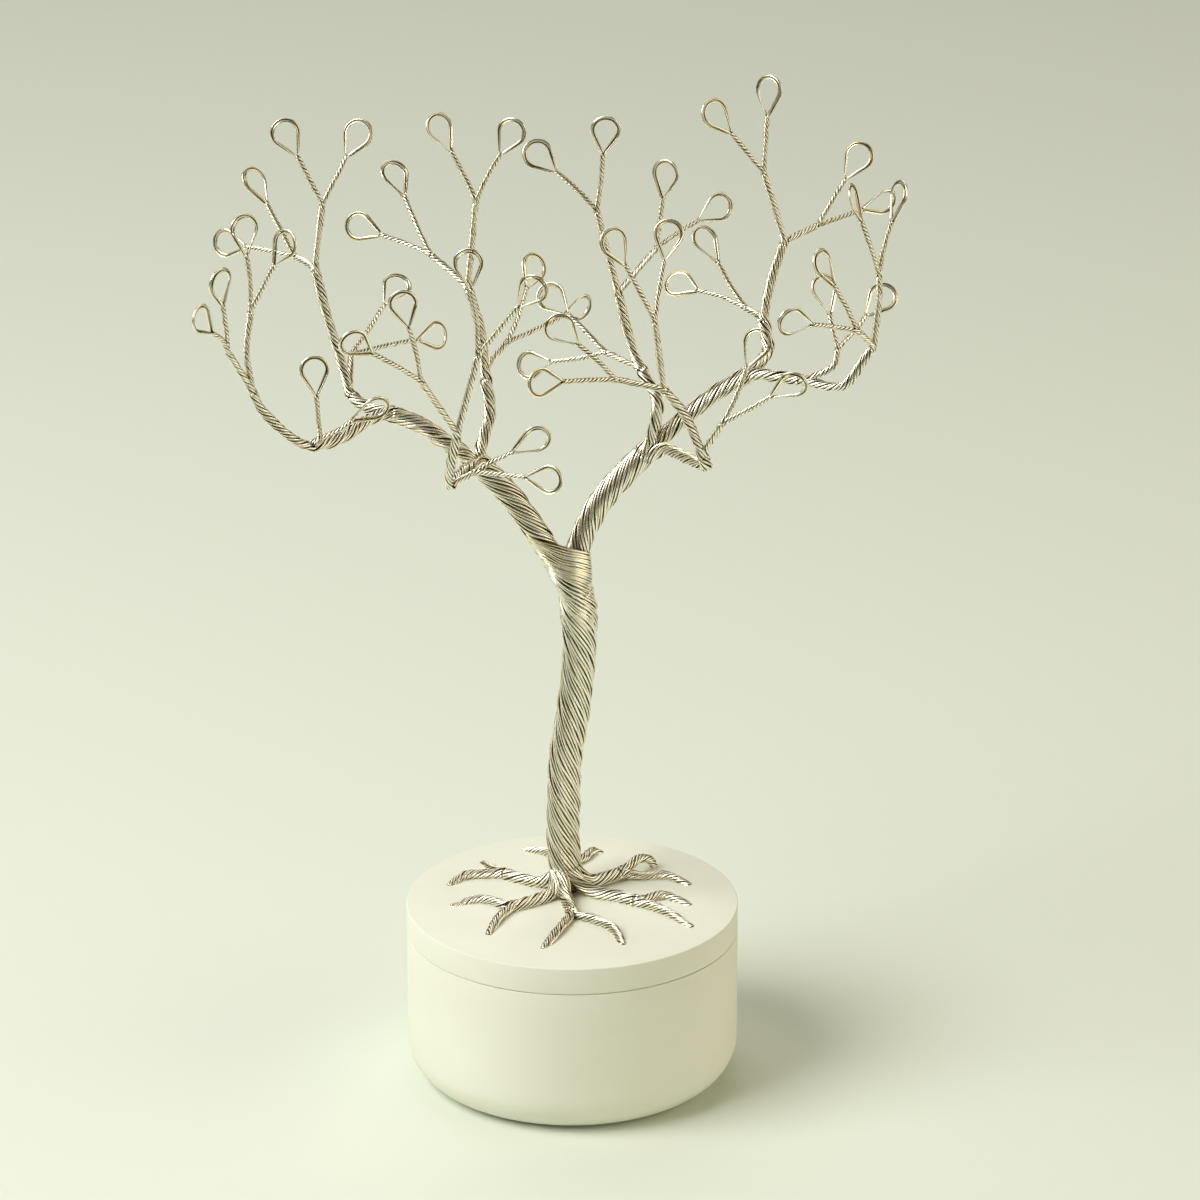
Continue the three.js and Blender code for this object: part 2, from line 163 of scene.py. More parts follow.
# A branch: the limb it leaves, its path, the point where its side stem leaves, and three stems.
# A stem: its path up to its fork, and its two loops with their middle and turn in degrees.
BRANCHES = {
    "outer_left": ("left", 3, [(-43, 4, 123), (-47, -1, 123), (-53, -8, 121), (-60, -15, 121),
                               (-64, -18, 124), (-71, -20, 132), (-73, -21, 137)], [
        ([(-58, -14, 123)], [(-59, -13, 138, 10), (-46, -12, 129, 30)]),
        ([(-74, -20, 146), (-73, -18, 155)], [(-74, -17, 173, 30), (-65, -21, 171, -40)]),
        ([(-78, -24, 147)], [(-79, -28, 164, 50), (-83, -32, 157, 50)])]),
    "upper_left": ("left", 2, [(-43, 4, 123), (-48, 8, 123), (-52, 11, 125), (-54, 14, 132),
                               (-57, 16, 142), (-60, 18, 154)], [
        ([(-52, 20, 132)], [(-42, 36, 143, -20), (-33, 40, 130, -20)]),
        ([(-58, 20, 169)], [(-66, 21, 185, 10), (-50, 24, 184, -20)]),
        ([(-65, 24, 155)], [(-74, 30, 171, 55), (-81, 34, 155, 10)])]),
    "middle_left": ("left", 3, [(-21, 0, 111), (-21, 3, 115), (-19, 5, 122), (-20, 7, 131),
                                (-21, 9, 141), (-24, 10, 152)], [
        ([(-19, 11, 133), (-15, 17, 136)], [(-9, 32, 149, 20), (1.8, 34, 138.7, 15)]),
        ([(-22, 12, 172)], [(-30, 15, 188, 35), (-14, 11, 188, -15)]),
        ([(-33, 16, 158)], [(-49, 24, 162, 10), (-41, 28, 173, 40)])]),
    "front_left": ("left", 2, [(-23, 0, 111), (-25, -9, 113), (-28, -19, 113), (-28, -22, 117),
                               (-26, -26, 128)], [
        ([(-22, -21, 117)], [(-9, -20, 124, 15), (-6, -29, 118, -10)]),
        ([(-34, -33, 143)], [(-48, -43, 155, 0), (-37.5, -36, 161.3, 5)]),
        ([(-23, -28, 140), (-21, -29, 148)], [(-23, -30, 169, 0), (-9, -36, 165, -10)])]),
    "inner_right": ("right", 4, [(18, 1, 114), (20, -1, 124), (20, 0, 128), (18, 2, 131),
                                 (16, 4, 134), (14, 6, 139), (11, 8, 151)], [
        ([(8, 9, 136)], [(-4, 18, 146, 10), (-9, 18, 130, 25)]),
        ([(6, 11, 170)], [(-7, 14, 182, 20), (8, 9, 189, 0)]),
        ([(20, 14, 160)], [(22, 14, 177, -30), (34, 22, 167, 0)])]),
    "front_right": ("right", 3, [(21, 0, 116), (28, -14, 117), (31, -20, 118), (30, -23, 122),
                                 (26, -25, 132), (21, -27, 139)], [
        ([(34.7, -26, 130.5)], [(42, -24, 148, -25), (49.4, -32, 141.2, 10)]),
        ([(19, -26, 155)], [(10, -27, 173, 30), (22, -21, 173, -10)]),
        ([(10, -32, 143)], [(-2, -36, 156, 0), (-6, -43, 146, 10)])]),
    "upper_right": ("right", 2, [(42, 6, 132), (46, 10, 136), (45, 13, 143), (47, 15, 152),
                                 (50, 16, 161)], [
        ([(41, 18, 144)], [(32, 24, 158, 45), (26, 30, 146, 40)]),
        ([(45, 18, 177)], [(34, 16, 191, 35), (46, 21, 195, -35)]),
        ([(58, 22, 163)], [(67, 25, 178, -20), (73, 30, 166, 20)])]),
    "outer_right": ("right", 2, [(42, 6, 132), (46, 4, 132), (54, 0, 132), (63, -4, 132),
                                 (68, -5, 139), (70, -5, 142)], [
        ([(61, -1, 136), (62, 0, 140)], [(59, 4, 152, 30), (72, 8, 149, -20)]),
        ([(71, -5, 153), (71, -4, 159)], [(65, -6, 177, 75), (75, -1, 176, -65)]),
        ([(66, -9, 147)], [(58, -11, 163, 55), (51, -18, 152, 0)])]),
}

# A root: its path over the lid and the paths of its two ends
ROOTS = [
    ([(-2, 7, 4), (-7, 8, 1.4), (-11, 10, 0.8), (-17, 14, 0.8)],
     [[(-26, 13, 0.8), (-30, 9, -0.6)], [(-22, 23, -0.6)]]),
    ([(-2, 5, 4), (-5, 1, 1.4), (-10, -3, 0.8), (-15, -6, 0.8)],
     [[(-22, -1, 0.8), (-29, -3, -0.6)], [(-18, -13, 0.8), (-20, -20, -0.6)]]),
    ([(-1, 5, 5), (-2, 0, 2.4), (-1, -4, 1), (0, -10, 0.8)],
     [[(-4, -21, 0.8), (-7, -28, -0.6)], [(6, -14, 1), (10, -19, 0.8), (12, -26, -0.6)]]),
    ([(0, 5, 4), (5, 2, 1.4), (11, 0, 0.9), (16, -3, 0.8)],
     [[(22, 1, 0.8), (28.5, -3, -0.6)], [(22, -8, 0.8), (28.5, -16, -0.6)]]),
    ([(0, 6, 5), (4, 7, 2), (8, 9.3, 1.6), (12, 12, 1.9)],
     [[(14, 14.2, 2.9), (16.5, 17, 3.5), (19, 19.2, 2.2), (20.3, 20.7, -0.6)],
      [(17.5, 12.4, 0.9), (23, 13, 0.8), (28.5, 9, -0.6)]]),
    ([(-1, 8, 4), (-1, 12, 1.4), (-1, 19, 0.8)],
     [[(-6, 27, 0.8), (-12, 31, -0.6)], [(3, 24, 0.8), (5, 28, 0.7), (7, 29, -0.6)]]),
]


# Guides for the left limb's wires that cross the front of the fork, from the uppermost to the
# lowest. They come up between the limb's own wires at its lower edge, and run over the front to
# the trunk's right edge. The tail is how they go on behind, as steps from the last of those
# points, until they sink in. The lowest guide's tail falls TAIL_FALL times as far as the first's.
WRAP = [
    [(-11.2, 0.3, 95.8), (-10, -1.9, 94.1), (-7.4, -2.95, 93.3), (-3.4, -3, 92.1),
     (0.4, -2.9, 90.9), (3.9, -1, 89.5)],
    [(-9.9, 0.3, 93.7), (-8.75, -1.9, 92), (-5.9, -3.05, 91.2), (-2.7, -3.4, 89.2),
     (0.8, -3.2, 88.2), (4.3, -1, 86.4)],
    [(-7.4, 0.4, 89.6), (-6.9, -1.4, 88.4), (-5.2, -2.9, 87.7), (-2, -3.7, 86.6),
     (1.3, -3.4, 85.4), (4.4, -1, 83.4)],
    [(-6.5, 0.4, 88.1), (-6, -1.3, 86.7), (-4.4, -2.9, 85.9), (-1.5, -4.1, 84.4),
     (1.8, -3.8, 82.6), (4.3, -1, 80)],
    [(-4.6, 1.2, 87.3), (-5.2, 0.1, 84.2), (-3.7, -1.9, 82.4), (-0.8, -3.6, 79.6),
     (2.4, -3.6, 76.9), (5.3, -0.7, 73.9)],
    [(-3.2, 1.6, 84.5), (-3.6, 0.6, 81.2), (-2.8, -0.9, 79), (-0.6, -2.8, 75.9),
     (2.6, -2.9, 72.3), (5.4, 0, 68.6)],
]
WRAP_TAIL = [(0.1, 2.4, -1.1), (-1.8, 5.1, -3.2), (-5, 4.8, -6.5), (-5.9, 3.2, -9.5),
             (-4.7, 2, -11.5)]
TAIL_FALL = 2.2
WRAP_WIRES = 24
WRAP_UNEVEN = 0.06
WRAP_STRIDE = 3
WRAP_RISE = 0.3


def unit(v):
    """Vectors along the last axis, each over its own length."""
    return v / np.maximum(np.linalg.norm(v, axis=-1, keepdims=True), 1e-9)


def place(point):
    """A place in the tree, from the middle of the lid's top to the jar's own frame."""
    return np.array(point[:3], float) + (0, 0, LID_TOP)


def bundle_radius(wires):
    """Radius of a round bundle: the wires' own area over the share of it that they fill."""
    return WIRE / 2 * math.sqrt(wires / PACKING)


def smooth_line(points):
    """Centripetal Catmull-Rom curve through the points, then points on it LINE_STEP apart.

    Each stretch is Barry and Goldman's pyramid of weighted means, with knots spaced by the
    square root of the distance between the points, and end points mirrored past both ends.
    """
    p = np.array(points, float)
    p = np.vstack([2 * p[0] - p[1], p, 2 * p[-1] - p[-2]])
    knots = np.concatenate([[0], np.cumsum(np.linalg.norm(np.diff(p, axis=0), axis=1) ** 0.5)])
    pieces = []
    for i in range(1, len(p) - 2):
        t = np.linspace(knots[i], knots[i + 1], CURVE_STEPS)[:, None]
        level = [p[i - 1 + k] * np.ones_like(t) for k in range(4)]
        for span in (1, 2, 3):
            level = [
                (level[k] * (knots[i - 1 + k + span] - t) + level[k + 1] * (t - knots[i - 1 + k]))
                / (knots[i - 1 + k + span] - knots[i - 1 + k])
                if span < 3 else
                (level[k] * (knots[i + 1] - t) + level[k + 1] * (t - knots[i]))
                / (knots[i + 1] - knots[i])
                for k in range(len(level) - 1)]
        pieces.append(level[0] if i == len(p) - 3 else level[0][:-1])
    return respaced(np.vstack(pieces))


def respaced(fine):
    """Points at equal steps of about LINE_STEP along a fine polyline."""
    reach = np.concatenate([[0], np.cumsum(np.linalg.norm(np.diff(fine, axis=0), axis=1))])
    steps = max(3, int(round(reach[-1] / LINE_STEP)))
    at = np.linspace(0, reach[-1], steps + 1)
    return np.stack([np.interp(at, reach, fine[:, k]) for k in range(3)], axis=1)


def carried_frame(line):
    """Tangent, normal and side at each point of a line; the normal turns as little as it can.

    The normal starts square to the first tangent and each step takes it square to the next one.
    """
    tangent = unit(np.gradient(line, axis=0))
    normal = np.zeros_like(line)
    start = np.array([0.0, 1.0, 0.0]) if abs(tangent[0, 1]) < 0.9 else np.array([1.0, 0, 0])
    for i, t in enumerate(tangent):
        start = start - t * np.dot(start, t)
        start /= np.linalg.norm(start)
        normal[i] = start
    return tangent, normal, np.cross(tangent, normal)


def ring_slots(count, radius, spacing):
    """Places of the wires in a round section, in rings from the outside in, and which are outside.

    A ring holds as many wires as fit round it, so many wires apart, at the lay's slant there. Four
    wires alone lie in a square.
    """
    slots, outer = [], []
    ring = radius - WIRE / 2
    while len(slots) < count:
        slant = math.cos(math.atan(COMMON_LAY * max(ring, 0) / radius))
        fits = max(1, int(round(2 * math.pi * max(ring, 0) * slant / (spacing * WIRE))))
        if count == 4:
            ring, fits = WIRE / math.sqrt(2), 4
        fits = min(fits, count - len(slots))
        angle = 2 * math.pi * (np.arange(fits) + 0.5) / fits
        slots += list(zip(max(ring, 0) * np.cos(angle), max(ring, 0) * np.sin(angle)))
        outer += [not outer or ring > radius - OUTER_DEPTH * WIRE] * fits
        ring = max(ring - RING_STEP * WIRE, 0)
    return np.array(slots), np.array(outer)


class Bundle:
    """Wires twisted round a line as a left-handed screw: slots in a section that turns on its way.

    A slot's angle falls by the lay's slope over the radius for each millimetre of line, and both
    its angle and its reach sway a little, as wires do that are twisted by hand.
    """

    def __init__(self, kind, points, steeper=None, wider=None):
        self.kind, self.count = kind, WIRES[kind]
        self.radius = bundle_radius(self.count)
        self.strand = STRAND.get(kind, WIRE) / 2
        self.line = smooth_line([place(point) for point in points])
        self.tangent, self.normal, self.side = carried_frame(self.line)
        self.step = np.linalg.norm(self.line[1] - self.line[0])
        self.along = self.step * np.arange(len(self.line))
        spacing = SPACING.get(kind, COMMON_SPACING)
        self.slots, self.outer = ring_slots(self.count, self.radius, spacing)
        rate = np.full(len(self.line), LAY_SLOPE.get(kind, COMMON_LAY) / self.radius)
        if steeper is not None:
            rate = rate * steeper(self.along)
        self.turn = -np.concatenate([[0], np.cumsum((rate[1:] + rate[:-1]) / 2 * self.step)])
        self.scale = np.ones(len(self.line)) if wider is None else wider(self.along)
        wave = 2 * math.pi * (self.along / rng.uniform(*SWAY_LENGTHS, (2, self.count, 1))
                              + rng.random((2, self.count, 1)))
        ring = np.hypot(self.slots[:, 0], self.slots[:, 1])[:, None]
        self.bearing = np.arctan2(self.slots[:, 1], self.slots[:, 0])[:, None]
        ridges = RIDGES.get(kind, 0)
        ridge = RIDGE_DEPTH * np.cos(ridges * self.bearing + rng.random() * 6) if ridges else 0.0
        self.sway = np.sin(wave[0]) * SWAY / np.maximum(ring, SWAY_RING)
        self.reach = ring * self.scale + np.sin(wave[1]) * SWAY * min(1, self.radius) + ridge
        self.fixed, self.first = False, 0
        self.lead = self.lead_out = self.lead_from = self.wire = None

    def strands(self, shift=0.0):
        """Points of every slot's wire along the line, and the way out from the line at each."""
        angle = self.bearing + self.turn + self.sway + shift
        out = np.cos(angle)[..., None] * self.normal + np.sin(angle)[..., None] * self.side
        return self.line + out * self.reach[..., None], out


def turned_about(axis, angle):
    """Rotation matrices about unit axes, by Rodrigues' formula.

    Each is the identity times the cosine, plus the axis's outer product with itself times one
    less the cosine, plus the axis's cross-product matrix times the sine.
    """
    axis, angle = np.broadcast_arrays(axis, np.asarray(angle)[..., None])
    x, y, z = np.moveaxis(axis, -1, 0)
    none = np.zeros_like(x)
    cross = np.stack([none, -z, y, z, none, -x, -y, x, none], axis=-1).reshape(x.shape + (3, 3))
    cos, sin = np.cos(angle[..., 0])[..., None, None], np.sin(angle[..., 0])[..., None, None]
    return cos * np.eye(3) + (1 - cos) * axis[..., :, None] * axis[..., None, :] + sin * cross


def swung(a, b):
    """Rotation matrices that swing unit way a straight to each unit way in b."""
    axis = np.cross(a, b)
    size = np.linalg.norm(axis, axis=-1)
    return turned_about(unit(axis + 1e-12), np.arctan2(size, b @ a))


def match(wanted, given):
    """For each wanted place one given place: nearest pairs first, then swaps that shorten both."""
    cost = np.linalg.norm(wanted[:, None] - given[None], axis=2) ** 2
    left = cost.copy()
    pick = np.zeros(len(wanted), int)
    for _ in range(len(wanted)):
        i, j = np.unravel_index(np.argmin(left), left.shape)
        pick[i] = j
        left[i, :] = left[:, j] = np.inf
    for _ in range(3):
        for i in range(len(wanted)):
            now = cost[i, pick[i]] + cost[np.arange(len(wanted)), pick]
            swapped = cost[i, pick] + cost[np.arange(len(wanted)), pick[i]]
            k = int(np.argmax(now - swapped))
            if now[k] - swapped[k] > 1e-9:
                pick[i], pick[k] = pick[k], pick[i]
    return pick


# Paths of the wires, piece by piece. A run is a stretch of one wire: its points, the way out from
# the middle of its bundle at each, a tone that sets wires apart, and its radius. SHADE is how dark
# the painted shade is on a piece's wires where they face into their bundle. STRIDE is how many
# points of a bundle's line lie between those that a run keeps.
runs = {name: [] for name in ("trunk", "limbs", "branches", "stems", "twigs", "loops", "roots")}
cores = []
tone_of_wire = rng.random(WIRES["trunk"])
PIECE_OF = {"trunk": "trunk", "limb": "limbs", "crook": "limbs", "branch": "branches",
            "fork": "branches", "stem": "stems", "twig": "twigs", "root": "roots",
            "root_end": "roots"}
SHADE = {"branches": 0.9, "stems": 0.85, "twigs": 0.85, "loops": 0.42}
STRIDE = {"trunk": 4, "limb": 4, "crook": 3, "branch": 3, "fork": 3, "root": 3, "root_end": 2,
          "stem": 2, "twig": 2}


def part_wires(parent, wires, points, ways, rate, children, arrivals):
    """Shares out a bundle's wires where it parts, and leads each to its slot in its child.

    A wire goes to the child that it already heads for: the one furthest along the lean between
    the children from the point that the wire would reach if it ran straight on. A group then
    follows a cubic Hermite curve to its child, keeps its lay, and turns from its own cross
    section into the child's rings on the way.
    """
    middle, way = points.mean(axis=0), unit(ways.mean(axis=0))
    left = np.arange(len(points))
    stations = [min(int(round(arrival / child.step)), len(child.line) - 3)
                for child, arrival in zip(children, arrivals)]
    heads = np.array([child.line[k] for child, k in zip(children, stations)])
    sideways = heads - middle - np.outer((heads - middle) @ way, way)
    order = np.argsort(-np.linalg.norm(sideways, axis=1))
    for n, i in enumerate(order):
        child, k, head, rest = children[i], stations[i], heads[i], heads[order[n + 1:]]
        chosen = left
        if len(rest):
            lean = head - rest.mean(axis=0)
            lean = unit(lean - way * (lean @ way))
            ahead = points[left] + ways[left] * LOOK_AHEAD * np.linalg.norm(head - middle)
            chosen = left[np.argsort(-(ahead @ lean))[:child.count]]
            left = np.setdiff1d(left, chosen)
        child.lead_from = parent.strand
        lead_to(child, k, wires[chosen], points[chosen], unit(ways[chosen].mean(axis=0)), rate)


def lead_to(child, k, wires, points, way, rate):
    """Leads a group of wires from its points to the slots of a child bundle at its station k.

    The group turns about its own middle at the parent's rate at first, and ends at the child's.
    """
    centre, head, head_way = points.mean(axis=0), child.line[k], child.tangent[k]
    span = np.linalg.norm(head - centre)
    own_rate = (child.turn[k - 1] - child.turn[k + 1]) / 2 / child.step
    t = np.linspace(0, 1, max(6, int(round(span / LEAD_STEP))) + 1)[:, None]
    turning = -span * (rate * t[:, 0] + (own_rate - rate) * t[:, 0] ** 2 / 2)
    turn = turning[-1]
    hub = ((2 * t ** 3 - 3 * t ** 2 + 1) * centre + (t ** 3 - 2 * t ** 2 + t) * way * span
           + (3 * t ** 2 - 2 * t ** 3) * head + (t ** 3 - t ** 2) * head_way * span)
    hub_way = unit(np.gradient(hub, axis=0))
    hub_way[0], hub_way[-1] = way, head_way
    swing = swung(way, hub_way)
    off = points - centre
    arriving = off @ (turned_about(head_way, turn) @ swing[-1]).T
    best = None
    trials = 1 if child.fixed else TRIAL_TURNS
    for shift in np.linspace(0, 2 * math.pi, trials, endpoint=False):
        slots = child.strands(shift)[0][:, k] - head
        pick = match(slots, arriving)
        miss = np.sum((slots - arriving[pick]) ** 2)
        if best is None or miss < best[0]:
            best = (miss, shift, pick, slots)
    _, shift, pick, slots = best
    child.turn = child.turn + shift
    child.first, child.wire = k, wires[pick]
    home = slots @ turned_about(head_way, -turn).T @ swing[-1]
    ease = (3 * t ** 2 - 2 * t ** 3)[None]
    local = off[pick][:, None] * (1 - ease) + home[:, None] * ease
    spin = turned_about(hub_way, turning) @ swing
    off_hub = np.einsum("tij,wtj->wti", spin, local)
    child.lead, child.lead_out = hub + off_hub, unit(off_hub)


def lay(bundle, last):
    """Adds a bundle's wires up to a station: outer ones whole, inner ones as far as they show."""
    points, out = bundle.strands()
    stride = STRIDE[bundle.kind]
    keep = np.unique(np.append(np.arange(bundle.first, last, stride), last))
    short = keep[:max(2, int(round(2 * bundle.radius / stride / bundle.step)))]
    for i in range(bundle.count):
        if not bundle.outer[i] and bundle.lead is None:
            continue
        at = keep if bundle.outer[i] else short
        path, way, thick = points[i, at], out[i, at], np.full(len(at), bundle.strand)
        if bundle.lead is not None:
            path = np.vstack([bundle.lead[i][:-1], path])
            way = np.vstack([bundle.lead_out[i][:-1], way])
            thick = np.concatenate([np.linspace(bundle.lead_from, bundle.strand,
                                                len(path) - len(at)), thick])
        runs[PIECE_OF[bundle.kind]].append((path, way, tone_of_wire[bundle.wire[i]], thick))
    if bundle.count > 4:
        radius = bundle.radius - CORE_DEPTH * WIRE
        cores.append((bundle.line[keep], radius * bundle.scale[keep]))


def finish_bundle(bundle, children):
    """Lays a bundle up to some way before its end, then parts its wires among its children."""
    before, arrivals = PARTINGS[bundle.kind]
    last = max(len(bundle.line) - 1 - int(round(before / bundle.step)), bundle.first + 1)
    lay(bundle, last)
    points, _ = bundle.strands()
    rate = (bundle.turn[last - 1] - bundle.turn[last]) / bundle.step
    part_wires(bundle, bundle.wire, points[:, last], unit(points[:, last] - points[:, last - 1]),
               rate, children, arrivals)


def drop(length, width):
    """Closed drop: two straight legs from the neck that touch a round head, as along and across."""
    radius = width / 2
    heart = length - radius
    open_angle = math.pi - math.acos(radius / heart)
    angle = np.linspace(-open_angle, open_angle, HEAD_STEPS)
    head = np.stack([heart + radius * np.cos(angle), radius * np.sin(angle)], axis=1)
    leg = np.linspace(0, 1, LEG_STEPS + 1)[1:-1, None]
    start, finish = np.array([[0.0, -WIRE / 2]]), np.array([[0.0, WIRE / 2]])
    return np.vstack([start, start + (head[0] - start) * leg, head,
                      head[-1] + (finish - head[-1]) * leg, finish])


def close_loop(neck, along, across, normal):
    """The two wires of a loop, side by side, from one side of the neck round to the other.

    They leave the neck one in front of the other. On the way round the pair turns over about
    its own middle line, up to nearly flat, so that one wire runs inside the other.
    """
    more = rng.uniform(-LOOP_UNEVEN, 0, 2)
    outline = drop(LOOP_LENGTH - WIRE - LOOP_SLACK + more[0], LOOP_WIDTH - 2 * WIRE + more[1])
    way = unit(np.gradient(outline, axis=0))
    share = np.linspace(0, 1, len(outline))
    halfway = np.sin(math.pi * share)
    tilt = math.radians(rng.uniform(*PAIR_TILT)) * rng.choice([-1, 1]) * halfway ** 0.6
    middle = neck + outline[:, :1] * along + outline[:, 1:] * across
    outwards = way[:, 1:] * along - way[:, :1] * across
    apart = STRAND["loop"] * (PAIR_OFFSET + rng.uniform(0, PAIR_PARTING) * halfway[:, None])
    for side in (-1, 1):
        off = side * (np.sin(tilt)[:, None] * outwards + np.cos(tilt)[:, None] * normal)
        runs["loops"].append((middle + off * apart, off, rng.random(), STRAND["loop"] / 2))


def grow_twigs(stem, loops):
    """Each twig of four wires arrives at its loop as a square, two wires on each side of it."""
    fork = stem.line[-1]
    twigs, frames = [], []
    for loop in loops:
        along = unit(place(loop) - fork)
        neck = place(loop) - along * LOOP_LENGTH / 2
        across = unit(np.cross(along, (0, -1, 0)))
        across = turned_about(along, math.radians(loop[3])) @ across
        bow = np.cross(along, rng.normal(size=3)) * TWIG_BOW
        twig = Bundle("twig", [p - (0, 0, LID_TOP) for p in (fork, (fork + neck) / 2 + bow, neck)])
        twig.turn += math.atan2(across @ twig.side[-1], across @ twig.normal[-1]) - twig.turn[-1]
        twig.sway *= 1 - (twig.along / twig.along[-1]) ** 4
        twig.fixed = True
        twigs.append(twig)
        frames.append((neck, along, across, np.cross(along, across)))
    finish_bundle(stem, twigs)
    for twig, loop_frame in zip(twigs, frames):
        lay(twig, len(twig.line) - 1)
        close_loop(*loop_frame)


def grow_branch(branch, name):
    """A branch sheds its side stem, runs on as a fork, and ends in two more stems."""
    limb, side, path, stems = BRANCHES[name]
    side_stem = Bundle("stem", [path[side]] + stems[0][0])
    end_stems = [Bundle("stem", [path[-1]] + to) for to, _ in stems[1:]]
    parted = Bundle("fork", path[side:])
    finish_bundle(branch, [side_stem, parted])
    finish_bundle(parted, end_stems)
    for stem, (_, loops) in zip([side_stem] + end_stems, stems):
        grow_twigs(stem, loops)


def grow_limb(limb, points, side_names, end_names):
    """A limb sheds two branches where it parts, runs on as a crook, and ends in two branches."""
    crook = Bundle("crook", points[LIMB_PARTING:])
    branches = {n: Bundle("branch", BRANCHES[n][2][:BRANCHES[n][1] + 1])
                for n in side_names + end_names}
    finish_bundle(limb, [branches[n] for n in side_names] + [crook])
    finish_bundle(crook, [branches[n] for n in end_names])
    for n in side_names + end_names:
        grow_branch(branches[n], n)


def wrap_fork(axis):
    """The left limb's wires that sweep over the front of the fork, round it and down behind.

    Each lies between two guides, at its own share of the way from the first guide to the last.
    """
    fall = np.linspace(1, TAIL_FALL, len(WRAP))[:, None] * np.array(WRAP_TAIL)[None, :, 2]
    tails = np.tile(WRAP_TAIL, (len(WRAP), 1, 1))
    tails[:, :, 2] = fall
    fronts = np.array(WRAP, float)
    guides = np.concatenate([fronts, fronts[:, -1:] + tails], axis=1)
    spread = np.linspace(0, len(WRAP) - 1, WRAP_WIRES)
    for share in spread:
        low = min(int(share), len(WRAP) - 2)
        points = guides[low] + (guides[low + 1] - guides[low]) * (share - low)
        points = points + rng.normal(size=points.shape) * WRAP_UNEVEN + (0, 0, LID_TOP)
        path = smooth_line(points)[::WRAP_STRIDE]
        upright = np.column_stack([np.interp(path[:, 2], axis[:, 2], axis[:, k]) for k in (0, 1)])
        # This way out, tipped up by WRAP_RISE, sets where these wires get painted groove shade
        way = unit(np.column_stack([path[:, :2] - upright, np.full(len(path), WRAP_RISE)]))
        runs["trunk"].append((path, way, rng.random(), STRAND["trunk"] / 2))


def grow_roots(trunk):
    """The trunk's wires part at its foot into six roots by the side they come down on."""
    points, _ = trunk.strands()
    foot = int(round(FOOT_PARTING / trunk.step))
    ways = unit(points[:, foot - 1] - points[:, foot])
    rate = (trunk.turn[foot] - trunk.turn[foot + 1]) / trunk.step
    roots = [Bundle("root", path) for path, _ in ROOTS]
    low = trunk.line[:foot + 1:STRIDE["trunk"]]
    cores.append((low, np.linspace(FOOT_CORE, trunk.radius - CORE_DEPTH * WIRE, len(low))))
    centre = trunk.line[foot]
    off = points[:, foot] - centre
    where = np.arctan2(off[:, 1], off[:, 0]) + FOOT_SWEEP
    heading = np.array([math.atan2(*(root.line[-1] - centre)[1::-1]) for root in roots])
    order = np.argsort(heading)
    start = heading[order[0]] - math.pi / len(roots)
    ranked = np.argsort((where - start) % (2 * math.pi))
    for n, i in enumerate(order):
        group = ranked[n * roots[i].count:(n + 1) * roots[i].count]
        part_wires(trunk, trunk.wire[group], points[group, foot], ways[group], rate,
                   [roots[i]], [FOOT_ARRIVAL])
        ends = [Bundle("root_end", [ROOTS[i][0][-1]] + path,
                       wider=lambda s: 1 - ROOT_TAPER * (s / s[-1]) ** 3) for path in ROOTS[i][1]]
        finish_bundle(roots[i], ends)
        for root_end in ends:
            lay(root_end, len(root_end.line) - 1)


def grow_tree():
    """The trunk parts into two limbs above and six roots below, and the wrap covers its fork."""
    more, start, over = TRUNK_STEEPER
    swell, at, width = TRUNK_SWELL
    limb_more, stop, limb_over = LIMB_STEEPER
    trunk = Bundle("trunk", TRUNK,
                   steeper=lambda s: 1 + more * np.clip((s - start) / over, 0, 1) ** 2,
                   wider=lambda s: 1 + swell * np.exp(-((s - at) / width) ** 2))
    trunk.wire = np.arange(trunk.count)
    trunk.first = int(round(FOOT_PARTING / trunk.step))
    limbs = [Bundle("limb", LEFT_LIMB[:LIMB_PARTING + 1],
                    steeper=lambda s: 1 + limb_more * np.clip((stop - s) / limb_over, 0, 1)),
             Bundle("limb", RIGHT_LIMB[:LIMB_PARTING + 1])]
    finish_bundle(trunk, limbs)
    wrap_fork(trunk.line)
    grow_limb(limbs[0], LEFT_LIMB, ["middle_left", "front_left"], ["outer_left", "upper_left"])
    grow_limb(limbs[1], RIGHT_LIMB, ["inner_right", "front_right"], ["upper_right", "outer_right"])
    grow_roots(trunk)


grow_tree()


def tube_rings(path, radius, sides):
    """Ring of corners round each point of a path, a circle square to it.

    The circles start off towards one way for the whole path: the one that its tangents lean
    along the least, which is the smallest eigenvector of the sum of their outer products.
    """
    tangent = unit(np.gradient(path, axis=0))
    steady = np.linalg.eigh(tangent.T @ tangent)[1][:, 0]
    u = unit(steady - tangent * (tangent @ steady)[:, None])
    v = np.cross(tangent, u)
    angle = 2 * math.pi * np.arange(sides) / sides
    radius = np.broadcast_to(radius, (len(path),))[:, None, None]
    return path[:, None] + radius * (np.cos(angle)[None, :, None] * u[:, None]
                                     + np.sin(angle)[None, :, None] * v[:, None])


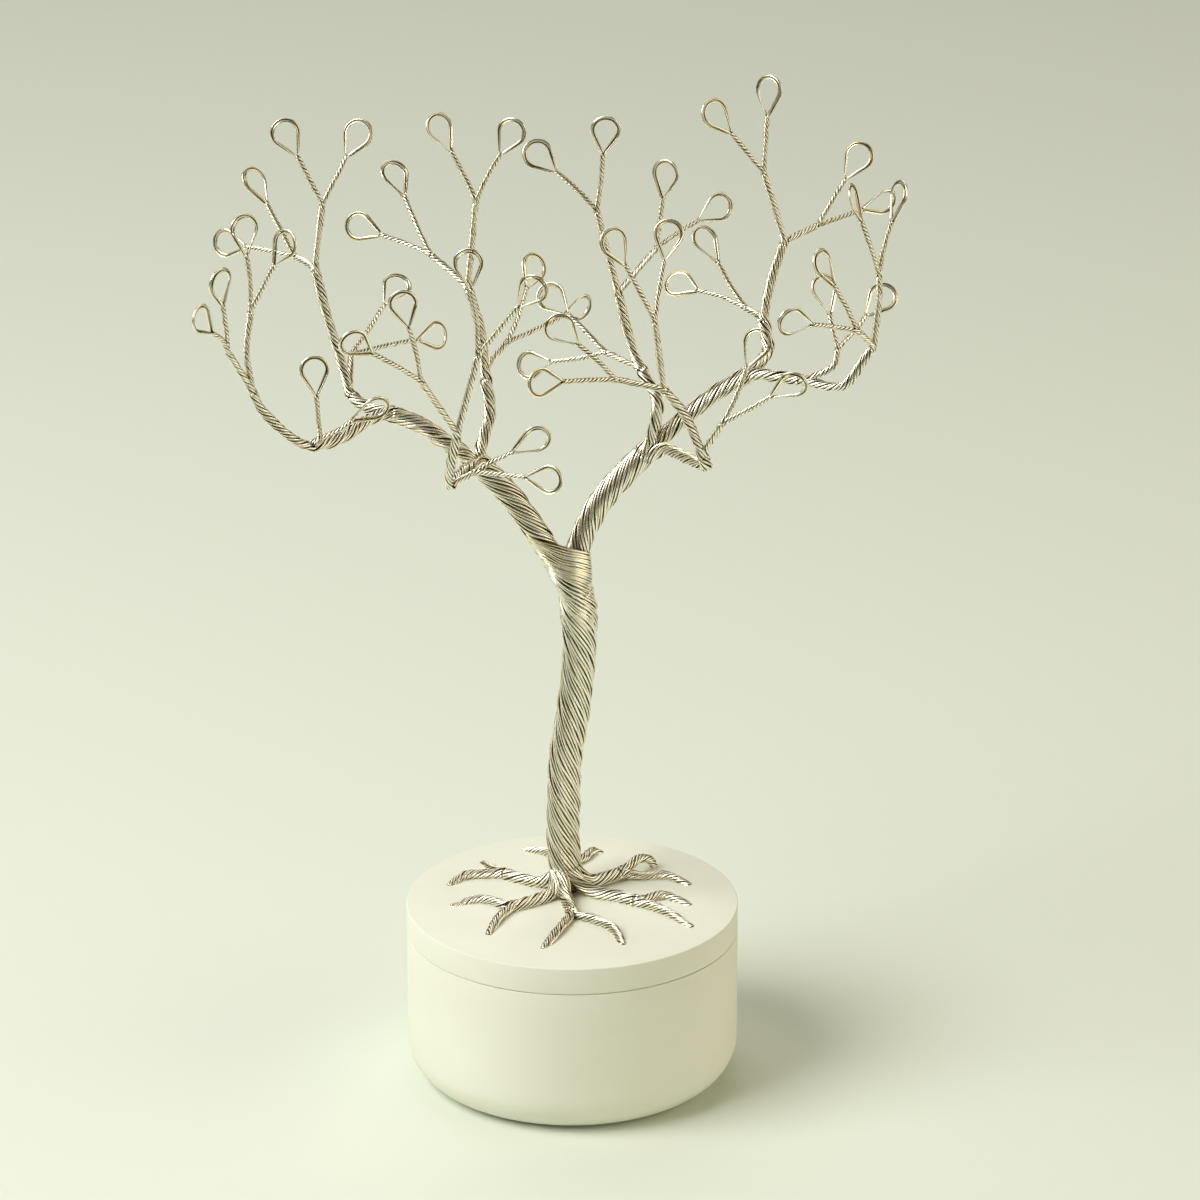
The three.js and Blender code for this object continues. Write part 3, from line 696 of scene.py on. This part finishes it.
def tube_mesh(name, tubes, sides, shade=1.0):
    """One mesh of many closed tubes, each a list of rings with a flat cap at both ends.

    Every point carries the tone of its wire, and how far it faces into its bundle: half of one
    less the cosine between its own way out of the wire and the wire's way out of the bundle,
    times the shade that lies between wires in a bundle of this kind.
    """
    corners, quads, caps, tones, inward = [], [], [], [], []
    base = 0
    j = np.arange(sides)
    for path, way, tone, radius in tubes:
        n = len(path)
        rings = tube_rings(path, radius, sides)
        facing = unit(rings - path[:, None])
        outward = np.einsum("ijk,ik->ij", facing, np.broadcast_to(way, path.shape))
        inward.append(shade * (0.5 - 0.5 * outward.ravel()))
        a = base + (np.arange(n - 1)[:, None] * sides + j)
        b = base + (np.arange(n - 1)[:, None] * sides + (j + 1) % sides)
        quads.append(np.stack([a, b, b + sides, a + sides], axis=-1).reshape(-1, 4))
        caps += [base + j[::-1], base + (n - 1) * sides + j]
        corners.append(rings.reshape(-1, 3))
        tones.append(np.full(n * sides, tone))
        base += n * sides
    return new_mesh(name, np.vstack(corners), np.vstack(quads), np.array(caps),
                    {"tone": np.concatenate(tones), "inward": np.concatenate(inward)})


def new_mesh(name, corners, quads, caps=None, values=None):
    """Mesh from corners in millimetres, four-sided faces, and many-sided caps if there are any."""
    mesh = bpy.data.meshes.new(name)
    faces = [quads] + ([caps] if caps is not None else [])
    loops = np.concatenate([face.ravel() for face in faces])
    sizes = np.concatenate([np.full(len(face), face.shape[1]) for face in faces])
    starts = np.concatenate([[0], np.cumsum(sizes)[:-1]])
    mesh.vertices.add(len(corners))
    mesh.vertices.foreach_set("co", (corners * MM).astype(np.float32).ravel())
    mesh.loops.add(len(loops))
    mesh.loops.foreach_set("vertex_index", loops.astype(np.int32))
    mesh.polygons.add(len(sizes))
    mesh.polygons.foreach_set("loop_start", starts.astype(np.int32))
    mesh.polygons.foreach_set("use_smooth", sizes == 4)
    for key, value in (values or {}).items():
        attribute = mesh.attributes.new(key, "FLOAT", "POINT")
        attribute.data.foreach_set("value", value.astype(np.float32))
    mesh.update(calc_edges=True)
    mesh.validate()
    return mesh


def new_piece(name, mesh, material):
    """Object of a mesh, in the scene and in the part's frame, with its material."""
    piece = bpy.data.objects.new(name, mesh)
    bpy.context.scene.collection.objects.link(piece)
    mesh.materials.append(material)
    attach(piece, "root")
    return piece


def linear(hex_colour):
    """sRGB hex to linear red, green, blue and a full alpha."""
    value = [int(hex_colour[i:i + 2], 16) / 255 for i in (1, 3, 5)]
    return [c / 12.92 if c <= 0.04045 else ((c + 0.055) / 1.055) ** 2.4 for c in value] + [1.0]


def new_material(name):
    """New material and its shader."""
    material = bpy.data.materials.new(name)
    material.use_nodes = True
    return material, material.node_tree.nodes["Principled BSDF"]


def add_node(material, kind, settings=None, inputs=None, links=None):
    """Adds one node, sets its properties and inputs, and links other sockets into its inputs."""
    node = material.node_tree.nodes.new(kind)
    for key, value in (settings or {}).items():
        setattr(node, key, value)
    for key, value in (inputs or {}).items():
        node.inputs[key].default_value = value
    for key, socket in (links or {}).items():
        material.node_tree.links.new(socket, node.inputs[key])
    return node


def silvered_wire():
    """Silver-plated soft copper wire, drawn bright: pale champagne, with painted groove shade.

    The bright tone differs from wire to wire and in soft clouds. Where a wire faces into its
    bundle it turns to old gold and then to nearly black, in two smooth steps: painted shade that
    stands in for the shade falling between the wires.
    """
    material, shader = new_material("silvered_wire")
    shader.inputs["Metallic"].default_value = 1.0
    where = add_node(material, "ShaderNodeTexCoord")
    tone = add_node(material, "ShaderNodeAttribute", {"attribute_name": "tone"})
    cloud = add_node(material, "ShaderNodeTexNoise", links={"Vector": where.outputs["Object"]},
                     inputs={"Scale": 1 / (TARNISH_CLOUD * MM), "Detail": 3.0})
    blend = add_node(material, "ShaderNodeMath", {"operation": "MULTIPLY_ADD"}, {1: 0.8},
                     {0: tone.outputs["Fac"], 2: cloud.outputs["Fac"]})
    bright = add_node(material, "ShaderNodeValToRGB", links={"Fac": blend.outputs["Value"]})
    tones = zip(bright.color_ramp.elements, (0.35, 0.96154), ("#f2ead0", "#fffdf0"))
    for element, position, tone_colour in tones:
        element.position = position
        element.color = linear(tone_colour)
    colour = bright.outputs["Color"]
    inward = add_node(material, "ShaderNodeAttribute", {"attribute_name": "inward"})
    # Painted shade: where a wire faces into its bundle its colour goes to old gold, then near black
    for start, stop, groove_shade_colour in ((0.13, 0.33, "#b8a25c"), (0.27, 0.45, "#241a04")):
        groove = add_node(material, "ShaderNodeMapRange", {"interpolation_type": "SMOOTHSTEP"},
                          {1: start, 2: stop}, {0: inward.outputs["Fac"]})
        deeper = add_node(material, "ShaderNodeMix", {"data_type": "RGBA"},
                          links={"Factor": groove.outputs[0], "A": colour})
        deeper.inputs["B"].default_value = linear(groove_shade_colour)
        colour = deeper.outputs["Result"]
    rough = add_node(material, "ShaderNodeMapRange", inputs={3: 0.22, 4: 0.34},
                     links={0: cloud.outputs["Fac"]})
    fine = add_node(material, "ShaderNodeTexNoise", links={"Vector": where.outputs["Object"]},
                    inputs={"Scale": 1 / (WIRE_GRAIN * MM), "Detail": 2.0})
    bump = add_node(material, "ShaderNodeBump", links={"Height": fine.outputs["Fac"]},
                    inputs={"Strength": 0.06, "Distance": WIRE_GRAIN_DEPTH * MM})
    for socket, name in ((colour, "Base Color"), (rough.outputs[0], "Roughness"),
                         (bump.outputs["Normal"], "Normal")):
        material.node_tree.links.new(socket, shader.inputs[name])
    return material


def painted_shade_core():
    """Painted shade: the same wire deep in a bundle, coloured dark as little light gets in."""
    material, shader = new_material("wire_in_shade")
    shader.inputs["Metallic"].default_value = 1.0
    shader.inputs["Base Color"].default_value = linear("#6f694f")
    shader.inputs["Roughness"].default_value = 0.45
    return material


def cast_plaster():
    """Acrylic plaster cast in a mould: matt cream, finely grained, with a few pinholes from air,
    darkened inside by painted shade.
    """
    material, shader = new_material("cast_plaster")
    where = add_node(material, "ShaderNodeTexCoord")
    cloud = add_node(material, "ShaderNodeTexNoise", links={"Vector": where.outputs["Object"]},
                     inputs={"Scale": 1 / (PLASTER_CLOUD * MM), "Detail": 4.0})
    cream = add_node(material, "ShaderNodeValToRGB", links={"Fac": cloud.outputs["Fac"]})
    tones = zip(cream.color_ramp.elements, (0.3, 0.7), ("#e5e6d7", "#eaebdd"))
    for element, position, tone_colour in tones:
        element.position = position
        element.color = linear(tone_colour)
    pores = add_node(material, "ShaderNodeTexVoronoi", links={"Vector": where.outputs["Object"]},
                     inputs={"Scale": 1 / (PINHOLE_SPACING * MM), "Randomness": 1.0})
    pit = add_node(material, "ShaderNodeMapRange", inputs={1: 0.012, 2: 0.03, 3: 0.0, 4: 1.0},
                   links={0: pores.outputs["Distance"]})
    # Painted shade: each pinhole's colour is darkened for the shade inside it
    dark = add_node(material, "ShaderNodeMix", {"data_type": "RGBA"},
                    links={"Factor": pit.outputs[0], "B": cream.outputs["Color"]})
    dark.inputs["A"].default_value = linear("#b9b49c")
    grain = add_node(material, "ShaderNodeTexNoise", links={"Vector": where.outputs["Object"]},
                     inputs={"Scale": 1 / (PLASTER_GRAIN * MM), "Detail": 3.0})
    height = add_node(material, "ShaderNodeMath", {"operation": "MULTIPLY_ADD"}, {1: 0.15},
                      {0: grain.outputs["Fac"], 2: pit.outputs[0]})
    bump = add_node(material, "ShaderNodeBump", links={"Height": height.outputs["Value"]},
                    inputs={"Strength": 0.35, "Distance": PLASTER_GRAIN_DEPTH * MM})
    shader.inputs["Roughness"].default_value = 0.72
    for socket, name in ((dark.outputs["Result"], "Base Color"),
                         (bump.outputs["Normal"], "Normal")):
        material.node_tree.links.new(socket, shader.inputs[name])
    return material


def arc(r, z, size, start, stop, steps):
    """Points of an arc in a profile, about a centre, between two angles in degrees."""
    angle = np.radians(np.linspace(start, stop, steps))
    return [(r + size * c, z + size * s) for c, s in zip(np.cos(angle), np.sin(angle))]


def turned_mesh(name, profile):
    """Surface of revolution: a profile of radius and height, closed on the axis, turned round Z."""
    profile = np.array(profile)
    angle = np.linspace(0, 2 * math.pi, JAR_TURN, endpoint=False)
    ring = np.stack([np.cos(angle), np.sin(angle)], axis=1)
    inner = profile[1:-1]
    heights = np.broadcast_to(inner[:, 1:, None], (len(inner), JAR_TURN, 1))
    corners = np.concatenate([inner[:, :1, None] * ring[None], heights], axis=2)
    j = np.arange(JAR_TURN)
    i = np.arange(len(inner) - 1)[:, None] * JAR_TURN
    quads = np.stack([i + j, i + (j + 1) % JAR_TURN, i + JAR_TURN + (j + 1) % JAR_TURN,
                      i + JAR_TURN + j], axis=-1).reshape(-1, 4)
    caps = np.stack([j[::-1], (len(inner) - 1) * JAR_TURN + j])
    return new_mesh(name, corners.reshape(-1, 3), quads, caps)


def jar_profiles():
    """Profiles of the bowl and of the lid, from the axis round and back to it.

    Plain points between the arcs keep the faces even. The lid touches the bowl's rim only on the
    inner part of it, so that a thin dark seam shows outside.
    """
    bore = JAR_RADIUS - BOWL_WALL
    bowl = ([(0, 0)] + [(r, 0) for r in (10, 20)]
            + arc(JAR_RADIUS - FOOT_ROUND, FOOT_ROUND, FOOT_ROUND, -90, 0, 24)
            + [(JAR_RADIUS, h) for h in (16, 23, 30)]
            + arc(JAR_RADIUS - SEAM_ROUND, BOWL_HEIGHT - SEAM_ROUND, SEAM_ROUND, 0, 90, 6)
            + arc(bore + EDGE_ROUND, BOWL_HEIGHT - EDGE_ROUND, EDGE_ROUND, 90, 180, 6)
            + [(bore, 24)]
            + arc(bore - INNER_ROUND, BOWL_FLOOR + INNER_ROUND, INNER_ROUND, 0, -90, 12)
            + [(12, BOWL_FLOOR), (0, BOWL_FLOOR)])
    step = bore - SPIGOT_CLEARANCE
    under = BOWL_HEIGHT - SPIGOT_DEPTH
    seam_start, seam_top = JAR_RADIUS - SEAM_DEPTH, BOWL_HEIGHT + SEAM_GAP
    lid = ([(0, under), (12, under)]
           + arc(step - EDGE_ROUND, under + EDGE_ROUND, EDGE_ROUND, -90, 0, 5)
           + [(step, BOWL_HEIGHT), (seam_start, BOWL_HEIGHT), (seam_start + SEAM_GAP, seam_top)]
           + arc(JAR_RADIUS - SEAM_ROUND, seam_top + SEAM_ROUND, SEAM_ROUND, -90, 0, 6)
           + arc(JAR_RADIUS - EDGE_ROUND, LID_TOP - EDGE_ROUND, EDGE_ROUND, 0, 90, 6)
           + [(30, LID_TOP), (18, LID_TOP), (6, LID_TOP), (0, LID_TOP)])
    return bowl, lid


def make_pieces():
    """The wires by kind of bundle, the cores behind them in painted shade, the bowl and the lid."""
    wire, shade, plaster = silvered_wire(), painted_shade_core(), cast_plaster()
    for name, part_runs in runs.items():
        mesh = tube_mesh("wire_" + name, part_runs, STRAND_SIDES, SHADE.get(name, 1.0))
        piece = new_piece("wire_" + name, mesh, wire)
        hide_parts("wire_tree")
    inside = [(line, (0, 0, 1), 0.5, radius) for line, radius in cores]
    core = new_piece("wire_cores", tube_mesh("wire_cores", inside, CORE_SIDES), shade)
    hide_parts("wire_tree")
    bowl_profile, lid_profile = jar_profiles()
    for name, profile in (("bowl", bowl_profile), ("lid", lid_profile)):
        piece = new_piece(name + "_body", turned_mesh(name + "_body", profile), plaster)
        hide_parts("jar_" + name)


make_pieces()

# Camera, as far from the jar and as high as the photograph's
CAMERA_PLACE = (0.0, -1.18784, 0.57243)
CAMERA_DOWN = 20.779
CAMERA_RIGHT = 0.324
FOCAL_PIXELS = 5376.3
IMAGE_PIXELS = 1200

camera = bpy.data.objects.new("camera", bpy.data.cameras.new("camera"))
bpy.context.scene.collection.objects.link(camera)
bpy.context.scene.camera = camera
camera.location = CAMERA_PLACE
camera.rotation_euler = (math.radians(90 - CAMERA_DOWN), 0, math.radians(-CAMERA_RIGHT))
camera.data.sensor_width = 36.0
camera.data.lens = FOCAL_PIXELS / IMAGE_PIXELS * camera.data.sensor_width
camera.data.clip_start = 0.05


def paper_floor():
    """Sheet of pale sage paper that the jar stands on."""
    material, shader = new_material("sage_paper")
    shader.inputs["Base Color"].default_value = linear("#e2e8dc")
    shader.inputs["Roughness"].default_value = 0.9
    left, right, front, back = -900, 900, -330, 1600
    corners = np.array([(left, front, 0), (right, front, 0), (right, back, 0), (left, back, 0)])
    mesh = new_mesh("paper_floor", corners, np.array([[0, 1, 2, 3]]))
    floor = bpy.data.objects.new("paper_floor", mesh)
    bpy.context.scene.collection.objects.link(floor)
    mesh.materials.append(material)


def soft_light(name, location, target, size, power, colour):
    """Square area light that faces its target."""
    light = bpy.data.objects.new(name, bpy.data.lights.new(name, "AREA"))
    bpy.context.scene.collection.objects.link(light)
    light.data.size = size
    light.data.energy = power
    light.data.color = linear(colour)[:3]
    light.location = location
    way = np.array(target) - np.array(location)
    light.rotation_euler = (math.acos(-way[2] / np.linalg.norm(way)), 0,
                            math.atan2(way[1], way[0]) - math.pi / 2)


paper_floor()
soft_light("window", (-0.96, -0.44, 1.1), (0, 0, 0.08), 1.0, 23.0, "#fffefa")
soft_light("ceiling", (-0.25, 1.5, 1.9), (0, 0.3, 0.0), 2.0, 17.5, "#fdfdfb")
soft_light("card", (1.2, -0.25, 0.5), (0, 0, 0.1), 1.1, 6.6, "#fff4dd")
soft_light("front_left_wall", (-1.25, -1.5, 0.9), (0, 0, 0.15), 1.1, 1.9, "#fffdf4")
soft_light("front_right_wall", (1.35, -1.5, 0.9), (0, 0, 0.15), 1.1, 1.5, "#fffdf4")

world = bpy.data.worlds.new("room")
bpy.context.scene.world = world
world.use_nodes = True
world.node_tree.nodes["Background"].inputs["Color"].default_value = linear("#a39a72")
world.node_tree.nodes["Background"].inputs["Strength"].default_value = 0.31

bpy.context.scene.view_settings.view_transform = "Standard"
